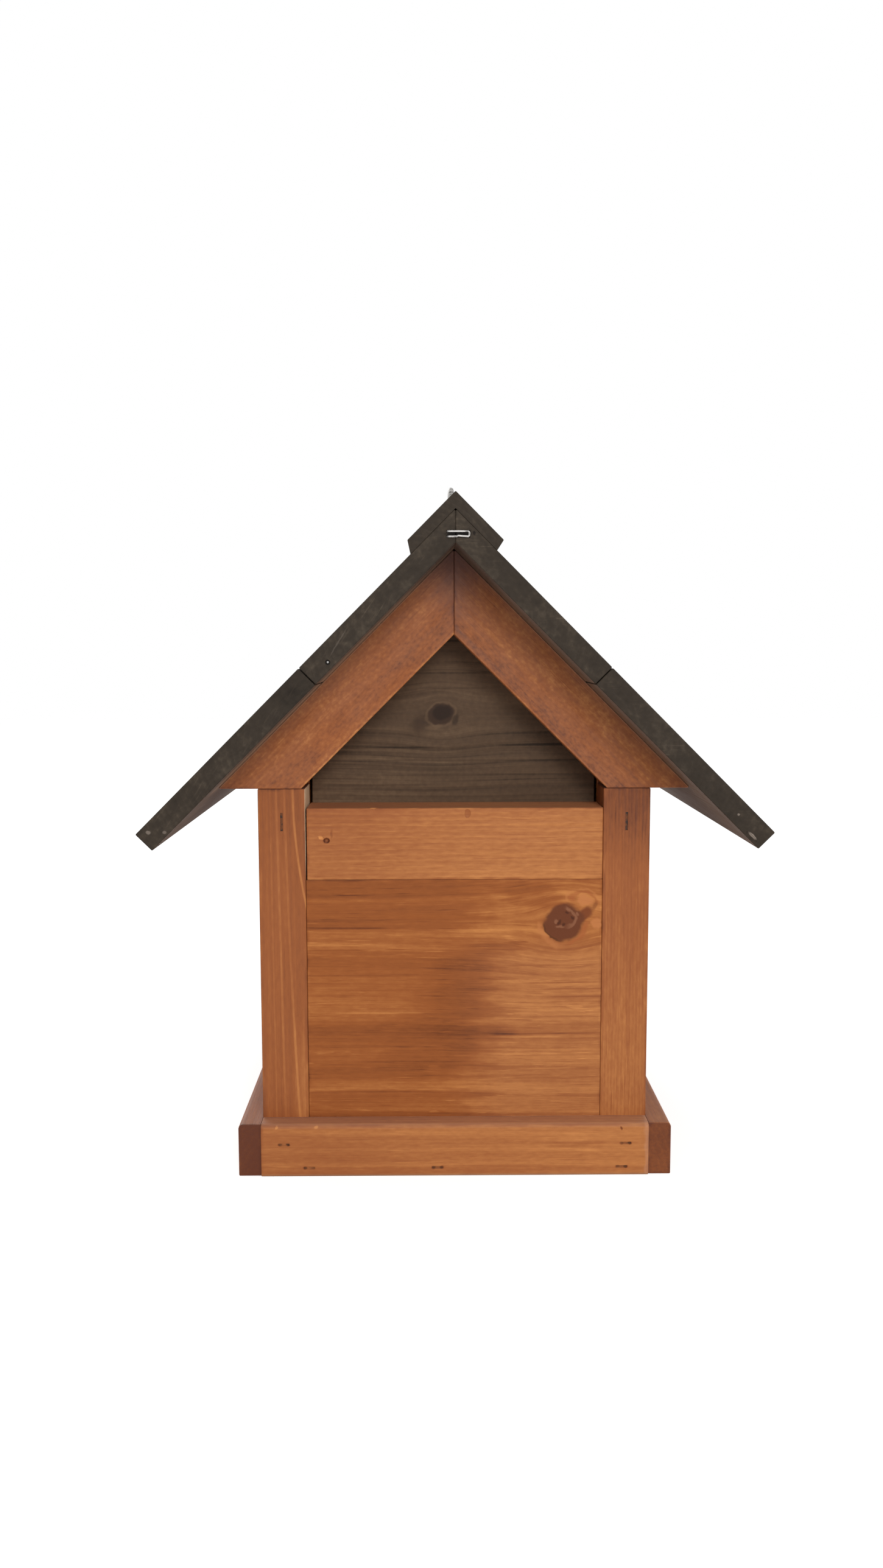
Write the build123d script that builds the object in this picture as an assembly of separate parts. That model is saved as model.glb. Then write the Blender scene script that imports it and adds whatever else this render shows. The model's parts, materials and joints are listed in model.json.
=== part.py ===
from build123d import *
import os
from math import cos, radians, sin, tan

# A wooden birdhouse: a square box of stout boards between four corner posts, with a skirt round
# its foot and a steep plank roof that lifts off upwards. Millimetres, +Z up, origin on the ground
# under the middle of the house. The plain gable faces -Y, and the entrance is in the gable at +Y.

# Driving dimensions of the box
body_width = 200.0
body_depth = 200.0
post_top = 200.0
post_width = 24.0
post_depth = 26.0
floor_thickness = 12.0
skirt_height = 27.5
skirt_thickness = 11.5
skirt_end_step = 1.0
rail_height = 37.0
rail_drop = 10.0
rail_end_gap = 0.6
panel_thickness = 25.0
lower_wall_height = 98.0
entrance_diameter = 32.0
entrance_height = 108.0

# Driving dimensions of the roof
roof_pitch = 45.0
rafter_width = 30.0
rafter_toe_step = 1.8
plank_thickness = 11.2
upper_plank_width = 105.0
lower_plank_width = 112.0
plank_gap = 0.4
gable_overhang = 38.0
cap_leg = 32.0
cap_thickness = 5.6
left_cap_toe = 3.4
right_cap_toe = 1.2
gable_board_thickness = 11.0
gable_board_drop = 20.0
gable_board_top_gap = 1.5
beam_width = 28.0
beam_height = 34.0

# Clearances that let the roof lift off the box
side_clearance = 1.4
lift_clearance = 0.5
eave_clearance = 2.0

# Eased and rounded edges
board_ease = 0.6
skirt_round = 2.5
cap_ease = 0.5
entrance_ease = 1.5

# Screw eye on the ridge
eye_wire = 3.3
eye_ring = 16.0
eye_stand = 2.2
eye_screw = 42.0
eye_hole_clearance = 0.1

# Wire staples and pins
post_staple_crown = 9.3
post_staple_leg = 38.0
post_staple_drop = 17.0
skirt_staple_crown = 5.6
skirt_staple_leg = 24.0
skirt_staple_height = 17.0
side_skirt_staple_height = 21.0
floor_staple_height = 4.5
floor_staple_places = (-75.0, -9.0, 86.0)
side_floor_staple_places = (-58.0, 5.0, 62.0)
plank_staple_leg = 28.0
plank_staple_inset = 20.0
rafter_foot_inset = 30.0
gable_staple_leg = 22.0
gable_staple_places = (28.0, 58.0)
staple_wire = 1.3
staple_sink = 0.5
clip_length = 11.2
clip_spread = 2.3
clip_wire = 1.1
clip_leg = 12.0
clip_height = 3.9
clip_shift = 1.3
pin_diameter = 1.6
pin_head = 3.0
pin_head_height = 0.8
pin_length = 13.0
pin_end_inset = 30.0
brad_diameter = 1.3
brad_length = 18.0
brad_sink = 0.6
brad_hole = 2.4
brad_from_joint = 11.5
brad_from_underside = 3.4

# Lines of the roof, worked out in the plane of the gable
slope_cos = cos(radians(roof_pitch))
slope_sin = sin(radians(roof_pitch))
slope_tan = tan(radians(roof_pitch))
half_width = body_width / 2
half_depth = body_depth / 2
wall_inner = half_width - post_width
wall_end = half_depth - post_depth
rafter_thickness = post_depth - lift_clearance
rafter_back = half_depth - rafter_thickness
rail_thickness = rafter_thickness - lift_clearance
rail_top = post_top - rail_drop
rail_bottom = rail_top - rail_height
rafter_toe = wall_inner + rafter_toe_step
rafter_crotch = post_top + rafter_toe * slope_tan
ridge_under = rafter_crotch + rafter_width / slope_cos
ridge_outer = ridge_under + plank_thickness / slope_cos
ridge_top = ridge_outer + cap_thickness / slope_cos
rafter_tip = (ridge_under - post_top) / slope_tan
gable_half = wall_inner - side_clearance
roof_half_depth = half_depth + gable_overhang


def roof_under(x):
    """Height of the planks' underside at a distance x from the middle of the house."""
    return ridge_under - abs(x) * slope_tan


def on_slope(side, along, out=0.0):
    """Point of the gable plane, measured down the planks' outer face from the ridge and out of it."""
    return (side * (along * slope_cos + out * slope_sin), ridge_outer - along * slope_sin + out * slope_cos)


def eased(solid, radius):
    """Every sharp edge of a sawn board, broken by the sander."""
    thinnest = min(solid.bounding_box().size)
    return fillet(solid.edges(), min(radius, thinnest / 4))


def between(x, y, z):
    """Plain block between two limits on each axis."""
    block = Box(x[1] - x[0], y[1] - y[0], z[1] - z[0])
    return Pos((x[0] + x[1]) / 2, (y[0] + y[1]) / 2, (z[0] + z[1]) / 2) * block


def board(x, y, z):
    """Board between two limits on each axis, with its edges eased."""
    return eased(between(x, y, z), board_ease)


def gable_profile(points, y):
    """Board sawn to an outline in the plane of the gable, between two limits on Y."""
    plane = Plane(origin=(0, y[1], 0), x_dir=(1, 0, 0), z_dir=(0, -1, 0))
    return extrude(plane * Polygon(*points, align=None), y[1] - y[0], dir=(0, -1, 0))


def faced(side, near, far):
    """Limits on one axis of a piece that lies between two distances from the middle."""
    return (side * near, side * far) if side > 0 else (side * far, side * near)


nodes = {}
sides = (("left", -1), ("right", 1))
ends = (("front", -1), ("rear", 1))

# Floor board and the four skirt boards stapled round its edge
nodes["floor_board"] = board((-half_width, half_width), (-half_depth, half_depth), (0, floor_thickness))
skirt_outer_y = half_depth + skirt_thickness
side_skirt_end = skirt_outer_y - skirt_end_step


def skirt_board(x, y, outward):
    """Skirt board with a well rounded top edge on its outer side."""
    block = between(x, y, (0, skirt_height))
    outer_edge = block.edges().filter_by(lambda e: abs(e.center().Z - skirt_height) < 1e-6).sort_by(
        lambda e: e.center().dot(Vector(*outward))
    )[-1]
    rounded = fillet(outer_edge, min(skirt_round, skirt_thickness / 3))
    sharp = rounded.edges().filter_by(lambda e: e.center().Z < skirt_height / 2 and e.geom_type == GeomType.LINE)
    return fillet(sharp, min(board_ease, skirt_thickness / 4))


for end_name, end in ends:
    nodes[end_name + "_skirt"] = skirt_board(
        (-half_width, half_width), faced(end, half_depth, skirt_outer_y), (0, end, 0)
    )
for side_name, side in sides:
    nodes[side_name + "_skirt"] = skirt_board(
        faced(side, half_width, half_width + skirt_thickness), (-side_skirt_end, side_skirt_end), (side, 0, 0)
    )

# Corner posts, and the rail and panel that close each gable between them
for end_name, end in ends:
    for side_name, side in sides:
        nodes[f"{end_name}_{side_name}_post"] = board(
            faced(side, wall_inner, half_width), faced(end, wall_end, half_depth), (floor_thickness, post_top)
        )
    nodes[end_name + "_rail"] = board(
        (rail_end_gap - wall_inner, wall_inner),
        faced(end, half_depth - rail_thickness, half_depth),
        (rail_bottom, rail_top),
    )
    nodes[end_name + "_panel"] = board(
        (-wall_inner, wall_inner),
        faced(end, half_depth - panel_thickness, half_depth),
        (floor_thickness, rail_bottom),
    )

# Round entrance through the rear panel, with a softened rim
hole_length = 2 * panel_thickness
entrance = Pos(0, half_depth, entrance_height) * Rot(90, 0, 0) * Cylinder(entrance_diameter / 2, hole_length)
bored_panel = nodes["rear_panel"] - entrance
rims = bored_panel.edges().filter_by(GeomType.CIRCLE).filter_by(
    lambda e: abs(e.radius - entrance_diameter / 2) < 1e-6
)
nodes["rear_panel"] = fillet(rims, min(entrance_ease, panel_thickness / 4))

# Two wall boards on each long side, the upper one bevelled to run close under the roof
wall_joint = floor_thickness + lower_wall_height
for side_name, side in sides:
    nodes[side_name + "_lower_wall"] = board(
        faced(side, wall_inner, half_width), (-wall_end, wall_end), (floor_thickness, wall_joint)
    )
    upper_outline = [
        (side * half_width, wall_joint),
        (side * half_width, roof_under(half_width) - eave_clearance),
        (side * wall_inner, roof_under(wall_inner) - eave_clearance),
        (side * wall_inner, wall_joint),
    ]
    nodes[side_name + "_upper_wall"] = eased(gable_profile(upper_outline, (-wall_end, wall_end)), board_ease)

# Rafters, mitred at the ridge and standing on the post tops, with a gable board behind each pair
for end_name, end in ends:
    for side_name, side in sides:
        rafter_outline = [
            (0, rafter_crotch),
            (side * rafter_toe, post_top),
            (side * rafter_tip, post_top),
            (0, ridge_under),
        ]
        rafter = gable_profile(rafter_outline, faced(end, rafter_back, half_depth))
        nodes[f"{end_name}_{side_name}_rafter"] = eased(rafter, board_ease)
    gable_peak = ridge_under - gable_board_top_gap
    gable_outline = [
        (-gable_half, rail_top - gable_board_drop),
        (gable_half, rail_top - gable_board_drop),
        (gable_half, gable_peak - gable_half * slope_tan),
        (0, gable_peak),
        (-gable_half, gable_peak - gable_half * slope_tan),
    ]
    gable_y = faced(end, rafter_back - gable_board_thickness, rafter_back)
    nodes[end_name + "_gable_board"] = eased(gable_profile(gable_outline, gable_y), board_ease)

# Ridge beam under the planks, which the screw eye bites into
beam_half = beam_width / 2
beam_end = rafter_back - gable_board_thickness
beam_outline = [
    (0, ridge_under),
    (beam_half, roof_under(beam_half)),
    (beam_half, ridge_under - beam_height),
    (-beam_half, ridge_under - beam_height),
    (-beam_half, roof_under(beam_half)),
]
nodes["ridge_beam"] = gable_profile(beam_outline, (-beam_end, beam_end))

# Two planks to a slope, mitred at the ridge and sawn square at the eave
plank_y = (-roof_half_depth, roof_half_depth)
lower_start = upper_plank_width + plank_gap
lower_finish = lower_start + lower_plank_width
for side_name, side in sides:
    upper_outline = [
        on_slope(side, 0),
        on_slope(side, upper_plank_width),
        on_slope(side, upper_plank_width, -plank_thickness),
        (0, ridge_under),
    ]
    nodes[side_name + "_upper_plank"] = eased(gable_profile(upper_outline, plank_y), board_ease)
    lower_outline = [
        on_slope(side, lower_start),
        on_slope(side, lower_finish),
        on_slope(side, lower_finish, -plank_thickness),
        on_slope(side, lower_start, -plank_thickness),
    ]
    nodes[side_name + "_lower_plank"] = eased(gable_profile(lower_outline, plank_y), board_ease)

# Ridge cap, one length of corner moulding over the mitre, its long edges sawn a little off square
cap_edge = cap_leg - cap_thickness * slope_tan
cap_outline = [(0, ridge_top)]
cap_outline += [on_slope(1, cap_edge, cap_thickness), on_slope(1, cap_edge + right_cap_toe)]
cap_outline += [(0, ridge_outer)]
cap_outline += [on_slope(-1, cap_edge + left_cap_toe), on_slope(-1, cap_edge, cap_thickness)]
cap = gable_profile(cap_outline, plank_y)
cap_arrises = cap.edges().filter_by(Axis.Y).filter_by(lambda e: abs(e.center().Z - ridge_outer) > 1e-6)
nodes["ridge_cap"] = fillet(cap_arrises, min(cap_ease, cap_thickness / 4))

# Screw eye: a wire ring that stands in line with the ridge, on a shank screwed down into the beam
ring_middle = (eye_ring - eye_wire) / 2
ring_height = ridge_top + eye_stand + eye_ring / 2
ring = Pos(0, 0, ring_height) * Rot(0, 90, 0) * Torus(ring_middle, eye_wire / 2)
shank_top = ring_height - ring_middle
shank_bottom = ridge_top - eye_screw
shank_point = eye_wire


def shank(radius):
    """Round shank of the eye with a pointed end."""
    length = shank_top - shank_bottom - shank_point
    rod = Pos(0, 0, shank_top - length / 2) * Cylinder(radius, length)
    point = Pos(0, 0, shank_bottom + shank_point / 2) * Cone(radius / 8, radius, shank_point)
    return rod + point


nodes["hanging_eye"] = ring + shank(eye_wire / 2)
eye_hole = shank(eye_wire / 2 + eye_hole_clearance)
for name in ("ridge_cap", "left_upper_plank", "right_upper_plank", "ridge_beam"):
    nodes[name] = nodes[name] - eye_hole


def staple(crown, leg):
    """Wire staple in its own frame: crown along X, driven down -Z, its crown just under the face."""
    top = (Align.CENTER, Align.CENTER, Align.MAX)
    wire = Box(crown, staple_wire, staple_wire, align=top)
    for end in (-1, 1):
        wire += Pos(end * (crown - staple_wire) / 2, 0, 0) * Box(staple_wire, staple_wire, leg, align=top)
    return Pos(0, 0, -staple_sink) * wire


def staple_cut(crown, leg):
    """Wood that a driven staple displaces, with the open slot above its crown."""
    slot = Box(crown, staple_wire, 4 * staple_sink)
    return staple(crown, leg) + slot


def drive(group, places, boards, crown, leg):
    """Staples at a list of planes, as one node, and their slots cut in the boards they hold."""
    nodes[group] = nodes.get(group, []) + [place * staple(crown, leg) for place in places]
    for place in places:
        for name in boards:
            nodes[name] = nodes[name] - place * staple_cut(crown, leg)


# Staples through the posts into the upper wall boards, and through them into rails and panels
post_middle_x = (wall_inner + half_width) / 2
post_middle_y = (wall_end + half_depth) / 2
panel_middle = (floor_thickness + rail_bottom) / 2
for end_name, end in ends:
    for side_name, side in sides:
        post = f"{end_name}_{side_name}_post"
        face_point = (side * post_middle_x, end * half_depth, post_top - post_staple_drop)
        place = Plane(origin=face_point, x_dir=(0, 0, 1), z_dir=(0, end, 0))
        drive("post_staples", [place], (post, side_name + "_upper_wall"), post_staple_crown, post_staple_leg)
        for held, height in (("rail", rail_bottom + rail_height / 2), ("panel", panel_middle)):
            face_point = (side * half_width, end * post_middle_y, height)
            place = Plane(origin=face_point, x_dir=(0, 0, 1), z_dir=(side, 0, 0))
            drive("frame_staples", [place], (post, f"{end_name}_{held}"), post_staple_crown, post_staple_leg)

# Narrow staples through the skirt into the posts and the floor
for end_name, end in ends:
    for side_name, side in sides:
        face_point = (side * post_middle_x, end * skirt_outer_y, skirt_staple_height)
        place = Plane(origin=face_point, x_dir=(1, 0, 0), z_dir=(0, end, 0))
        post = f"{end_name}_{side_name}_post"
        drive("skirt_staples", [place], (end_name + "_skirt", post), skirt_staple_crown, skirt_staple_leg)
    places = [
        Plane(origin=(x, end * skirt_outer_y, floor_staple_height), x_dir=(1, 0, 0), z_dir=(0, end, 0))
        for x in floor_staple_places
    ]
    drive("skirt_staples", places, (end_name + "_skirt", "floor_board"), skirt_staple_crown, skirt_staple_leg)
for side_name, side in sides:
    outer_x = side * (half_width + skirt_thickness)
    for end_name, end in ends:
        face_point = (outer_x, end * post_middle_y, side_skirt_staple_height)
        place = Plane(origin=face_point, x_dir=(0, 1, 0), z_dir=(side, 0, 0))
        post = f"{end_name}_{side_name}_post"
        drive("skirt_staples", [place], (side_name + "_skirt", post), skirt_staple_crown, skirt_staple_leg)
    places = [
        Plane(origin=(outer_x, y, floor_staple_height), x_dir=(0, 1, 0), z_dir=(side, 0, 0))
        for y in side_floor_staple_places
    ]
    drive("skirt_staples", places, (side_name + "_skirt", "floor_board"), skirt_staple_crown, skirt_staple_leg)

# Staples through the planks into the rafters, and through the gable boards into the rafters' backs
rafter_middle = (rafter_back + half_depth) / 2
rafter_reach = (rafter_tip + plank_thickness * slope_sin) / slope_cos
upper_places = (cap_leg + plank_staple_inset / 2, upper_plank_width - plank_staple_inset)
lower_places = (lower_start + plank_staple_inset, rafter_reach - rafter_foot_inset)
for end_name, end in ends:
    for side_name, side in sides:
        rafter = f"{end_name}_{side_name}_rafter"
        for plank, distances in (("upper", upper_places), ("lower", lower_places)):
            places = []
            for along in distances:
                x, z = on_slope(side, along)
                down_slope = (side * slope_cos, 0, -slope_sin)
                outward = (side * slope_sin, 0, slope_cos)
                places.append(Plane(origin=(x, end * rafter_middle, z), x_dir=down_slope, z_dir=outward))
            boards = (f"{side_name}_{plank}_plank", rafter)
            drive("plank_staples", places, boards, post_staple_crown, plank_staple_leg)
        places = []
        for x in gable_staple_places:
            height = (rafter_crotch + ridge_under) / 2 - x * slope_tan
            face_point = (side * x, end * (rafter_back - gable_board_thickness), height)
            places.append(Plane(origin=face_point, x_dir=(side * slope_cos, 0, -slope_sin), z_dir=(0, -end, 0)))
        drive("gable_staples", places, (end_name + "_gable_board", rafter), post_staple_crown, gable_staple_leg)


def ridge_clip():
    """Doubled wire clip in its own frame: two crowns along X, joined at one end, with four legs."""
    top = (Align.CENTER, Align.CENTER, Align.MIN)
    bottom = (Align.CENTER, Align.CENTER, Align.MAX)
    reach = (clip_length - clip_wire) / 2
    clip = Pos(reach, 0, 0) * Box(clip_wire, clip_spread + clip_wire, clip_wire, align=top)
    for row in (-1, 1):
        clip += Pos(0, row * clip_spread / 2, 0) * Box(clip_length, clip_wire, clip_wire, align=top)
        for end in (-1, 1):
            foot = Pos(end * reach, row * clip_spread / 2, 0)
            clip += foot * Box(clip_wire, clip_wire, clip_leg, align=bottom)
    return clip


# Wire clips across the ridge mitre, lying on the ends of the upper planks
nodes["ridge_clips"] = []
for end_name, end in ends:
    face_point = (clip_shift, end * roof_half_depth, ridge_under + clip_height)
    clip = Plane(origin=face_point, x_dir=(1, 0, 0), z_dir=(0, end, 0)) * ridge_clip()
    nodes["ridge_clips"].append(clip)
    for side_name, side in sides:
        nodes[side_name + "_upper_plank"] = nodes[side_name + "_upper_plank"] - clip


def headed_pin():
    """Round pin in its own frame, driven down -Z with its flat head on the face."""
    down = (Align.CENTER, Align.CENTER, Align.MAX)
    up = (Align.CENTER, Align.CENTER, Align.MIN)
    return Cylinder(pin_diameter / 2, pin_length, align=down) + Cylinder(pin_head / 2, pin_head_height, align=up)


# Pins through both legs of the ridge cap into the planks
nodes["cap_pins"] = []
pin_end = roof_half_depth - pin_end_inset
for side_name, side in sides:
    x, z = on_slope(side, cap_leg / 2, cap_thickness)
    for y in (-pin_end, -pin_end / 3, pin_end / 3, pin_end):
        place = Plane(origin=(x, y, z), x_dir=(0, 1, 0), z_dir=(side * slope_sin, 0, slope_cos))
        pin = place * headed_pin()
        nodes["cap_pins"].append(pin)
        for name in ("ridge_cap", side_name + "_upper_plank"):
            nodes[name] = nodes[name] - pin

# Brad in the front end of the left upper plank, sunk in a wider hole
x, z = on_slope(-1, upper_plank_width - brad_from_joint, brad_from_underside - plank_thickness)
brad_place = Plane(origin=(x, -roof_half_depth, z), x_dir=(1, 0, 0), z_dir=(0, -1, 0))
down = (Align.CENTER, Align.CENTER, Align.MAX)
brad = brad_place * Pos(0, 0, -brad_sink) * Cylinder(brad_diameter / 2, brad_length, align=down)
brad_mouth = brad_place * Cylinder(brad_hole / 2, 2 * brad_sink)
nodes["plank_brad"] = brad
nodes["left_upper_plank"] = nodes["left_upper_plank"] - brad - brad_mouth

# One file for each piece, or for each group of like fasteners
os.makedirs("parts", exist_ok=True)
for name, shape in nodes.items():
    piece = Compound(children=shape) if isinstance(shape, list) else shape
    export_step(piece, f"parts/{name}.step")
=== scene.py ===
import json
import math
from dataclasses import dataclass

import bpy
from mathutils import Matrix, Vector

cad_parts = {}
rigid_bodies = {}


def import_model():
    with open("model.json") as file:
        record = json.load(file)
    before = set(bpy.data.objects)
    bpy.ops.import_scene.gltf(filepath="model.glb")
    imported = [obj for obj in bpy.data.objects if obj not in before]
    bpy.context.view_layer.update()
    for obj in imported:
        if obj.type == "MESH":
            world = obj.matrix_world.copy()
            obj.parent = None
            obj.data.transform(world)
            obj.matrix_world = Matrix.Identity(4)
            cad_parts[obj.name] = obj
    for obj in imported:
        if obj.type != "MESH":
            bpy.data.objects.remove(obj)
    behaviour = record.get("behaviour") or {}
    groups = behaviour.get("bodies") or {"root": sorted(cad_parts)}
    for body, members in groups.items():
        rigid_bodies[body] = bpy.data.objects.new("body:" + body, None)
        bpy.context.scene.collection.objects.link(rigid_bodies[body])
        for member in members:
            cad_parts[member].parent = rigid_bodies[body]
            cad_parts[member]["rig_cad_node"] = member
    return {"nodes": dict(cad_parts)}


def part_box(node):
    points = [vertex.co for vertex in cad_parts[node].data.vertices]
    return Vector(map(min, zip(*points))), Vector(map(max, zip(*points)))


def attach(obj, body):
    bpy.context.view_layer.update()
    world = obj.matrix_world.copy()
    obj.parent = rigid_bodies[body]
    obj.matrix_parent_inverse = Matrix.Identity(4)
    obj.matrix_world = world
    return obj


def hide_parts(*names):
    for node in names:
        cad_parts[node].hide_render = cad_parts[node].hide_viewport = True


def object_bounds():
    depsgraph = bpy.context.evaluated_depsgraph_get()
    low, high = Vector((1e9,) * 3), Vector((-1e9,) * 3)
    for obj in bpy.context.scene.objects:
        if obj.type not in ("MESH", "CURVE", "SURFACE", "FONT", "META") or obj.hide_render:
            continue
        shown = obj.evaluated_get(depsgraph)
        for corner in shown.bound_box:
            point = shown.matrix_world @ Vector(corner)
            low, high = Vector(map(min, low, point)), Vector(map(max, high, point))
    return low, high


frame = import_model()
cad_low, cad_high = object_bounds()

# Floor board: one square of planed pine under the house, left bare on the inside.
# The skirt is stapled round its edge, and the posts and walls stand on it.
mm = 0.001
pine_stops = ((150, 102, 58), (192, 146, 92), (214, 176, 124))
level = (1, 0, 0)
upright = (0, 0, 1)


class Field:
    """One output of a material's nodes. Sums and products of fields add Math nodes."""

    def __init__(self, tree, socket=None):
        self.tree = tree
        self.socket = socket

    def node(self, kind, settings=None, inputs=None, output=0):
        """Adds a node: its settings first, then its inputs. Gives one of its outputs."""
        made = self.tree.nodes.new(kind)
        for name, value in (settings or {}).items():
            setattr(made, name, value)
        for name, value in (inputs or {}).items():
            if isinstance(value, Field):
                self.tree.links.new(value.socket, made.inputs[name])
            else:
                made.inputs[name].default_value = value
        return Field(self.tree, made.outputs[output])

    def math(self, operation, *terms):
        """Arithmetic on this field and the other terms."""
        return self.node("ShaderNodeMath", {"operation": operation}, dict(enumerate((self, *terms))))

    def __add__(self, other):
        return self.math("ADD", other)

    def __sub__(self, other):
        return self.math("SUBTRACT", other)

    def __rsub__(self, other):
        return self.node("ShaderNodeMath", {"operation": "SUBTRACT"}, {0: other, 1: self})

    def __mul__(self, other):
        return self.math("MULTIPLY", other)

    def __truediv__(self, other):
        return self.math("DIVIDE", other)

    def __abs__(self):
        return self.math("ABSOLUTE")

    __radd__ = __add__
    __rmul__ = __mul__


def shade(colour):
    """Colour given as the eye sees it, 0 to 255 a channel, in the linear light of a shader."""
    channels = [channel / 255 for channel in colour]
    linear = [c / 12.92 if c < 0.04045 else ((c + 0.055) / 1.055) ** 2.4 for c in channels]
    return (*linear, 1.0)


def ramp(value, low, high):
    """Smooth step from 0 at low to 1 at high, in either direction."""
    return value.node(
        "ShaderNodeMapRange",
        {"interpolation_type": "SMOOTHSTEP"},
        {"Value": value, "From Min": low, "From Max": high},
    )


def mixed(under, over, share):
    """Colour that turns from one to the other as the share goes from 0 to 1."""
    under, over = (c if isinstance(c, Field) else shade(c) for c in (under, over))
    return share.node("ShaderNodeMix", {"data_type": "RGBA"}, {0: share, 6: under, 7: over}, output=2)


def vector(operation, first, second, output=0):
    """Vector arithmetic on a place."""
    return first.node("ShaderNodeVectorMath", {"operation": operation}, {0: first, 1: second}, output)


def clouds(moved, detail, output):
    """Cloud texture with one spot to the unit, as a number or as a colour."""
    sockets = {"Vector": moved, "Scale": 1.0, "Detail": detail}
    return moved.node("ShaderNodeTexNoise", inputs=sockets, output=output)


def noise(log, seed, spots, detail=2):
    """Cloudy noise about 0, with so many spots to the metre along the grain, across and deep."""
    board_shift = (0.71 * seed, 1.37 * seed, 2.11 * seed)
    moved = vector("MULTIPLY", vector("ADD", log, board_shift), spots)
    return clouds(moved, detail, "Fac") - 0.5


def begin(name, grain, face):
    """New material, its place in the house, and its place in the log the board was sawn from:
    X along the grain, Y across the board's face and Z out of that face."""
    material = bpy.data.materials.new(name)
    material.use_nodes = True
    place = Field(material.node_tree).node("ShaderNodeTexCoord", output="Object")
    along = Vector(grain).normalized()
    out = Vector(face).normalized()
    turn = Matrix((along, out.cross(along), out)).to_euler()
    log = place.node("ShaderNodeMapping", inputs={"Vector": place, "Rotation": turn})
    return material, place, log


def late_wood(log, seed, pith, width, wander):
    """Growth rings about the pith: 0 in soft early wood, 1 in the hard late wood of each ring."""
    section = vector("MULTIPLY", log, (0.0, 1.0, 1.0))
    radius = vector("DISTANCE", section, (0.0, *pith), "Value")
    turn = (radius + noise(log, seed, (5, 28, 28)) * wander) / width
    part = turn.math("FRACT")
    return ramp(part, 0.3, 0.88) * ramp(part, 1.0, 0.92)


def dress(material, colour, roughness, relief, depth, gloss=0.3):
    """Joins a finish to its shader, with a relief of the given depth in metres."""
    tree = material.node_tree
    shader = tree.nodes["Principled BSDF"]
    bump = relief.node("ShaderNodeBump", inputs={"Strength": 0.6, "Distance": depth, "Height": relief})
    tree.links.new(colour.socket, shader.inputs["Base Color"])
    tree.links.new(roughness.socket, shader.inputs["Roughness"])
    tree.links.new(bump.socket, shader.inputs["Normal"])
    shader.inputs["Specular IOR Level"].default_value = gloss


def stained(tone, deep, middle, pale):
    """Colour of a stain by how much of it the wood took: deep at 0, middle at 0.5, pale at 1."""
    lower = mixed(deep, middle, ramp(tone, 0.0, 0.55))
    return mixed(lower, pale, ramp(tone, 0.45, 1.0))


def cover(node, material):
    """Gives a piece of the frame its finish."""
    for slot in frame["nodes"][node].material_slots:
        slot.material = material


def bare_pine(name, grain, face, seed, pith):
    """Planed pine with no stain on it."""
    material, place, log = begin(name, grain, face)
    late = late_wood(log, seed, pith, 3.4 * mm, 5 * mm)
    fibre = noise(log, seed, (16, 620, 620), 4)
    tone = 0.62 - 0.42 * late + 0.5 * fibre + 0.4 * noise(log, seed + 3, (8, 26, 26))
    colour = stained(tone, *pine_stops)
    dress(material, colour, 0.62 + 0.3 * fibre, 0.6 * fibre + 0.4 * late, 0.12 * mm)
    return material


cover("floor_board", bare_pine("bare_pine_floor", level, upright, 1, (0.03, -0.05)))

# Skirt: four low boards stapled round the foot of the house, flush with the ground. The front and
# rear ones sit between the ends of the side ones, and the outer top edge of each is rounded.
amber_stops = ((92, 44, 22), (156, 88, 43), (212, 141, 78))
# Dusty grey, also laid on upward faces as a painted sheen of the light from above.
dust_and_sheen = (188, 180, 170)
lengthwise = (0, 1, 0)
to_front = (0, -1, 0)
to_rear = (0, 1, 0)
to_left = (-1, 0, 0)
to_right = (1, 0, 0)


def parts(place):
    """The three coordinates of a place."""
    split = place.node("ShaderNodeSeparateXYZ", inputs={"Vector": place}).socket.node
    return [Field(place.tree, socket) for socket in split.outputs]


def ramp_mm(value, low, high):
    """Smooth step between two places that are given in millimetres."""
    return ramp(value, low * mm, high * mm)


def layered(colour, *layers):
    """Colours laid over one another in turn, each with its share."""
    for finish, share in layers:
        colour = mixed(colour, finish, share)
    return colour


def facing(field, way):
    """How squarely a face looks a given way: 1 straight that way, -1 straight away from it."""
    normal = field.node("ShaderNodeNewGeometry", output="True Normal")
    return vector("DOT_PRODUCT", normal, Vector(way).normalized(), "Value")


def end_grain(place, grain):
    """1 on a face sawn across the grain, 0 on the others."""
    return ramp(abs(facing(place, grain)), 0.45, 0.8)


def lying(place):
    """1 on a face that looks up, 0 on the others."""
    return ramp(facing(place, upright), 0.6, 0.95)


def arris(place, node, reach):
    """Nearness to the edges of a square-sawn board: 1 on an edge, 0 from the given reach."""
    low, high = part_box(node)
    gaps = []
    for coordinate, start, end in zip(parts(place), low, high):
        gaps.append((coordinate - start).math("MINIMUM", end - coordinate))
    nearest = gaps[0].math("MINIMUM", gaps[1].math("MINIMUM", gaps[2]))
    farthest = gaps[0].math("MAXIMUM", gaps[1].math("MAXIMUM", gaps[2]))
    second = gaps[0] + gaps[1] + gaps[2] - nearest - farthest
    return ramp(second, reach, 0.0)


def oval(log, middle, reach, tilt=0.0):
    """Distance on a board's face from the middle of an oval, 1 at its rim. Its middle and reach, along
    the grain and across, are in millimetres, and its tilt is in degrees."""
    inside = log.node(
        "ShaderNodeMapping",
        {"vector_type": "TEXTURE"},
        {
            "Vector": log,
            "Location": (middle[0] * mm, middle[1] * mm, 0.0),
            "Rotation": (0.0, 0.0, math.radians(tilt)),
            "Scale": (reach[0] * mm, reach[1] * mm, 1.0),
        },
    )
    flat = vector("MULTIPLY", inside, (1.0, 1.0, 0.0))
    return vector("DISTANCE", flat, (0.0, 0.0, 0.0), "Value")


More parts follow.
